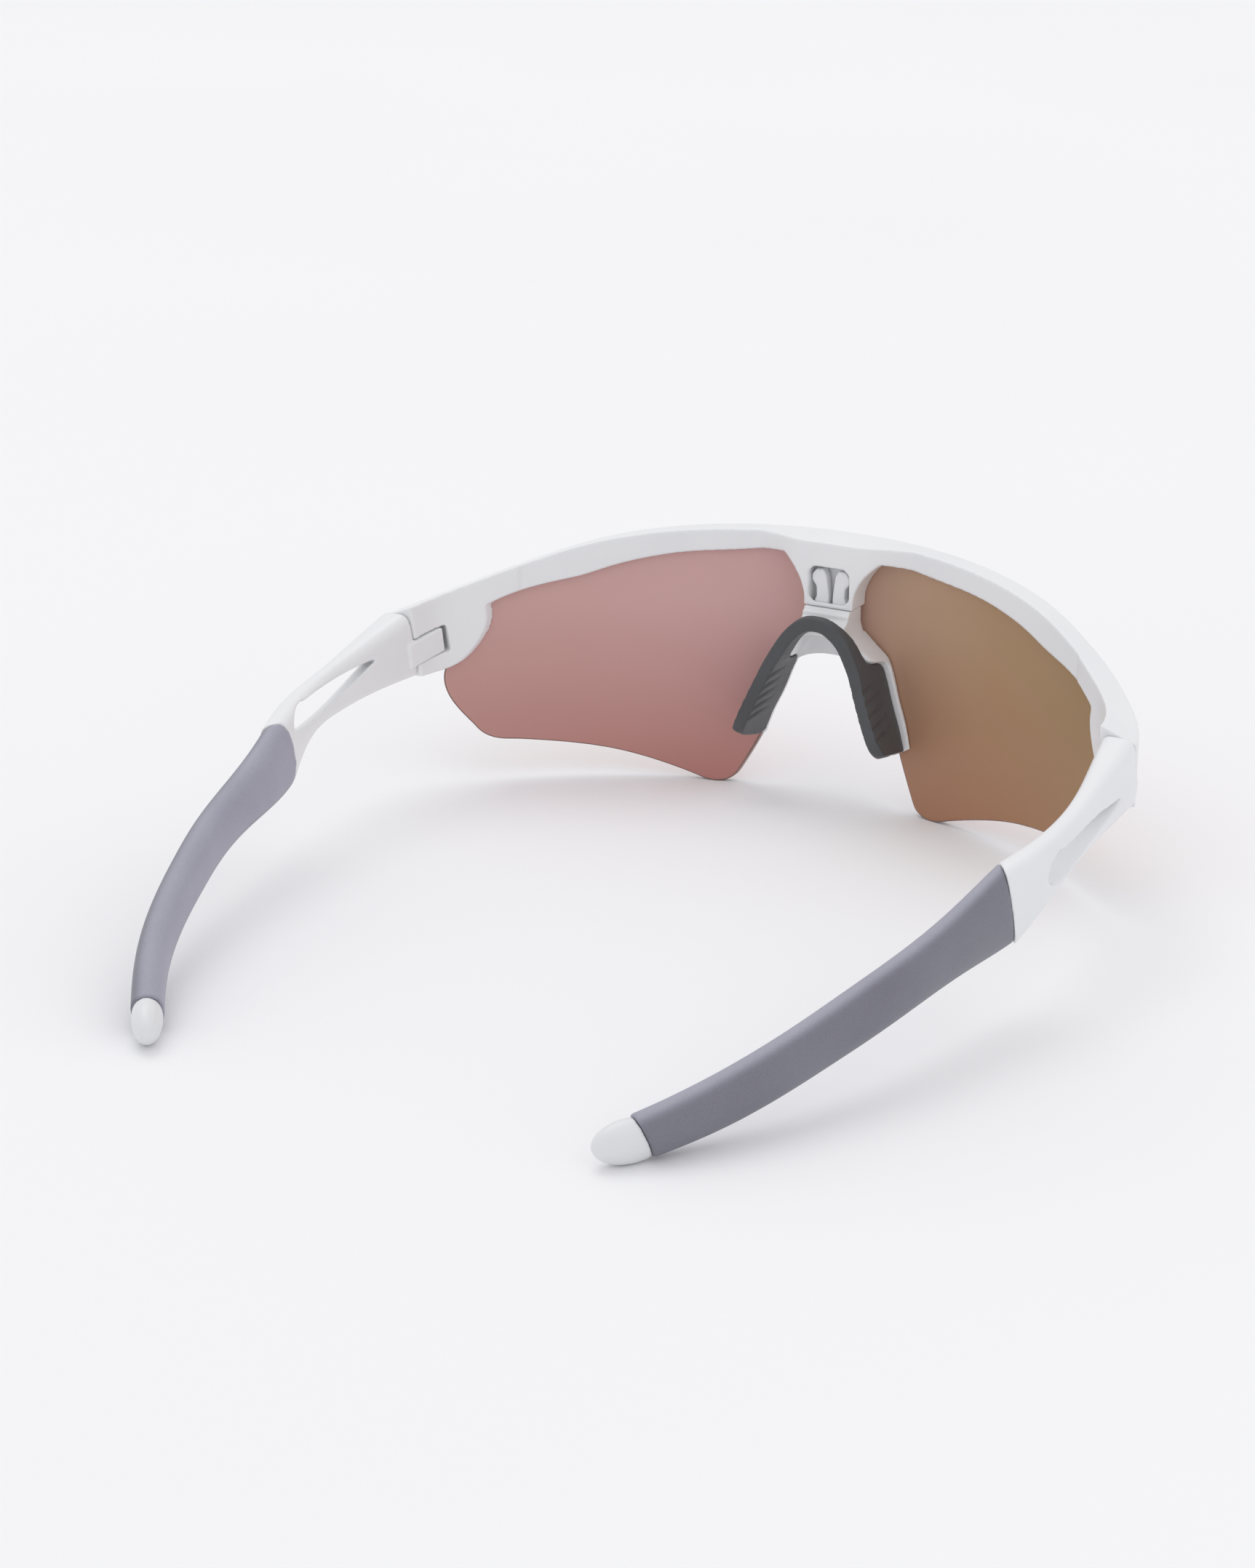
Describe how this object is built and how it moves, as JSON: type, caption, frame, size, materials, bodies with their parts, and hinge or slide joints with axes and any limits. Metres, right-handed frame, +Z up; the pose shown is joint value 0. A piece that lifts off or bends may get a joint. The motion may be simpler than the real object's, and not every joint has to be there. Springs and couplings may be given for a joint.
{
  "type": "wraparound sport sunglasses",
  "caption": "Wraparound sport sunglasses: one curved shield lens in a half-rim brow frame, folding temples with rubber sleeves and a clip-in nose piece.",
  "frame": {"origin": "middle of the bounding box in plan, on the surface that the glasses stand on", "axes": "+X towards the wearer's left, -Y the direction of gaze, +Z up"},
  "size_m": [0.147, 0.1616, 0.0488],
  "materials": {
    "frame": "satin",
    "lens": "mirror-coated polycarbonate",
    "nose_bracket": "satin",
    "nose_pad": "matte",
    "screw": "brushed",
    "sleeve": "matte",
    "tip": "satin"
  },
  "bodies": {
    "front": {"front_frame": "frame", "shield_lens": "lens", "nose_bracket": "nose_bracket", "nose_pad": "nose_pad", "left_hinge_screw": "screw", "right_hinge_screw": "screw"},
    "left_temple": {"left_temple_arm": "frame", "left_temple_sleeve": "sleeve", "left_temple_tip": "tip"},
    "right_temple": {"right_temple_arm": "frame", "right_temple_sleeve": "sleeve", "right_temple_tip": "tip"}
  },
  "joints": [
    {"name": "left_temple_fold", "type": "hinge", "parent": "front", "child": "left_temple", "pos_m": [0.0674, -0.0433, 0.0282], "axis": [0, 0.1908, 0.9816], "range_deg": [0, 78.5]},
    {"name": "right_temple_fold", "type": "hinge", "parent": "front", "child": "right_temple", "pos_m": [-0.0674, -0.0433, 0.0282], "axis": [0, -0.1908, -0.9816], "range_deg": [0, 68]}
  ]
}
